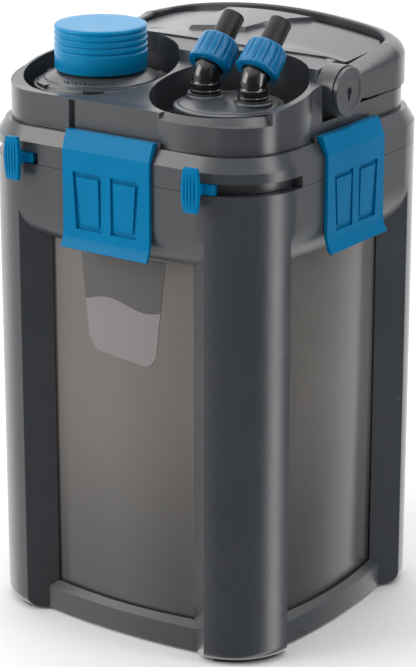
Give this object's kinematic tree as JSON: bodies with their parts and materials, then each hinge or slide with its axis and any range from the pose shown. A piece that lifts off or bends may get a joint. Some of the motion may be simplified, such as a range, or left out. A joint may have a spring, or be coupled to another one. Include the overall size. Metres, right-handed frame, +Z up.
{
  "type": "aquarium canister filter",
  "caption": "Square canister filter: smoked tank in a dark post frame, clamped head with prefilter knob, twin hose elbows, pump and folding handle.",
  "frame": {"origin": "centre of the whole object's box, on the floor it stands on", "axes": "+Z up, -Y the front with the knob and hose ports nearer, +X to the right seen from the front"},
  "size_m": [0.258, 0.257, 0.4471],
  "materials": {
    "charcoal": "satin charcoal plastic",
    "smoked": "dark smoked plastic, too deep to see through",
    "blue": "satin blue plastic",
    "black": "satin black plastic",
    "rubber": "black rubber",
    "tray": "orange plastic",
    "foam": "open-cell filter foam",
    "steel": "stainless wire",
    "ceramic": "white ceramic and hard plastic",
    "magnet": "bonded ferrite"
  },
  "bodies": {
    "container": {"container_tank": "smoked", "container_frame": "charcoal", "foot_front_right": "rubber", "foot_front_left": "rubber", "foot_rear_right": "rubber", "foot_rear_left": "rubber"},
    "tray_1": {"filter_tray_1": "tray", "filter_foam_1": "foam"},
    "tray_2": {"filter_tray_2": "tray", "filter_foam_2": "foam"},
    "tray_3": {"filter_tray_3": "tray", "filter_foam_3": "foam"},
    "tray_4": {"filter_tray_4": "tray", "filter_foam_4": "foam"},
    "head": {"head_base": "charcoal", "head_cover": "charcoal", "head_seal": "rubber", "motor_cover": "charcoal", "cable_gland": "rubber", "clip_pin_front": "steel", "clip_pin_right": "steel", "clip_pin_rear": "steel", "clip_pin_left": "steel", "handle_bolt_left": "charcoal", "handle_bolt_right": "charcoal", "hose_unit_plate": "black", "motor_housing": "black", "motor_end_cap": "black", "pump_cover": "black", "bearing_bush_lower": "rubber", "bearing_bush_upper": "rubber", "pump_shaft": "ceramic"},
    "rotor": {"rotor_magnet": "magnet", "impeller": "ceramic"},
    "prefilter": {"prefilter_flange": "black", "prefilter_cage": "black", "prefilter_foam": "foam", "prefilter_seal": "rubber"},
    "knob": {"prefilter_knob": "blue"},
    "handle": {"carry_handle": "charcoal"},
    "elbow_left": {"elbow_left": "black", "hose_tail_left": "black", "elbow_retainer_left": "black"},
    "nut_left": {"union_nut_left": "blue"},
    "lever_left": {"release_lever_left": "blue"},
    "elbow_right": {"elbow_right": "black", "hose_tail_right": "black", "elbow_retainer_right": "black"},
    "nut_right": {"union_nut_right": "blue"},
    "lever_right": {"release_lever_right": "blue"},
    "clip_front": {"clip_front": "blue"},
    "clip_right": {"clip_right": "blue"},
    "clip_rear": {"clip_rear": "blue"},
    "clip_left": {"clip_left": "blue"}
  },
  "joints": [
    {"name": "head_lift", "type": "slide", "parent": "container", "child": "head", "axis": [0, 0, 1], "range_m": [0, 0.36]},
    {"name": "tray_1_lift", "type": "slide", "parent": "container", "child": "tray_1", "axis": [0, 0, 1], "range_m": [0, 0.072]},
    {"name": "tray_2_lift", "type": "slide", "parent": "container", "child": "tray_2", "axis": [0, 0, 1], "range_m": [0, 0.144]},
    {"name": "tray_3_lift", "type": "slide", "parent": "container", "child": "tray_3", "axis": [0, 0, 1], "range_m": [0, 0.216]},
    {"name": "tray_4_lift", "type": "slide", "parent": "container", "child": "tray_4", "axis": [0, 0, 1], "range_m": [0, 0.288]},
    {"name": "rotor_spin", "type": "hinge", "parent": "head", "child": "rotor", "pos_m": [0.02, 0.05025, 0.366], "axis": [0, 0, 1], "continuous": true},
    {"name": "prefilter_lift", "type": "slide", "parent": "head", "child": "prefilter", "axis": [0, 0, 1], "range_m": [0, 0.35]},
    {"name": "prefilter_knob_turn", "type": "hinge", "parent": "prefilter", "child": "knob", "pos_m": [-0.057, -0.04775, 0.399], "axis": [0, 0, 1], "range_deg": [0, 60]},
    {"name": "handle_swing", "type": "hinge", "parent": "head", "child": "handle", "pos_m": [0, -0.00275, 0.396], "axis": [1, 0, 0], "range_deg": [0, 82]},
    {"name": "elbow_left_swivel", "type": "hinge", "parent": "head", "child": "elbow_left", "pos_m": [0.035, -0.05075, 0.3943], "axis": [0, 0, 1], "range_deg": [-5, 90]},
    {"name": "union_nut_left_turn", "type": "hinge", "parent": "elbow_left", "child": "nut_left", "pos_m": [0.035, -0.04711, 0.41088], "axis": [0, 0.7071, 0.7071], "continuous": true},
    {"name": "elbow_right_swivel", "type": "hinge", "parent": "head", "child": "elbow_right", "pos_m": [0.074, -0.05075, 0.3943], "axis": [0, 0, 1], "range_deg": [-90, 5]},
    {"name": "union_nut_right_turn", "type": "hinge", "parent": "elbow_right", "child": "nut_right", "pos_m": [0.074, -0.04711, 0.41088], "axis": [0, 0.7071, 0.7071], "continuous": true},
    {"name": "lever_right_slide", "type": "hinge", "parent": "head", "child": "lever_right", "pos_m": [0.072, -0.067, 0.34585], "axis": [0, 0, 1], "range_deg": [0, 77]},
    {"name": "lever_left_slide", "type": "hinge", "parent": "head", "child": "lever_left", "pos_m": [-0.072, -0.067, 0.34585], "axis": [0, 0, -1], "range_deg": [0, 77]},
    {"name": "clip_front_swing", "type": "hinge", "parent": "head", "child": "clip_front", "pos_m": [0, -0.1101, 0.3683], "axis": [-1, 0, 0], "range_deg": [0, 70]},
    {"name": "clip_right_swing", "type": "hinge", "parent": "head", "child": "clip_right", "pos_m": [0.1151, 0.00225, 0.3683], "axis": [0, -1, 0], "range_deg": [0, 70]},
    {"name": "clip_rear_swing", "type": "hinge", "parent": "head", "child": "clip_rear", "pos_m": [0, 0.1146, 0.3683], "axis": [1, 0, 0], "range_deg": [0, 70]},
    {"name": "clip_left_swing", "type": "hinge", "parent": "head", "child": "clip_left", "pos_m": [-0.1151, 0.00225, 0.3683], "axis": [0, 1, 0], "range_deg": [0, 70]}
  ],
  "couplings": [
    {"joint": "tray_1_lift", "follows": "head_lift", "ratio": 0.2},
    {"joint": "tray_2_lift", "follows": "head_lift", "ratio": 0.4},
    {"joint": "tray_3_lift", "follows": "head_lift", "ratio": 0.6},
    {"joint": "tray_4_lift", "follows": "head_lift", "ratio": 0.8}
  ]
}
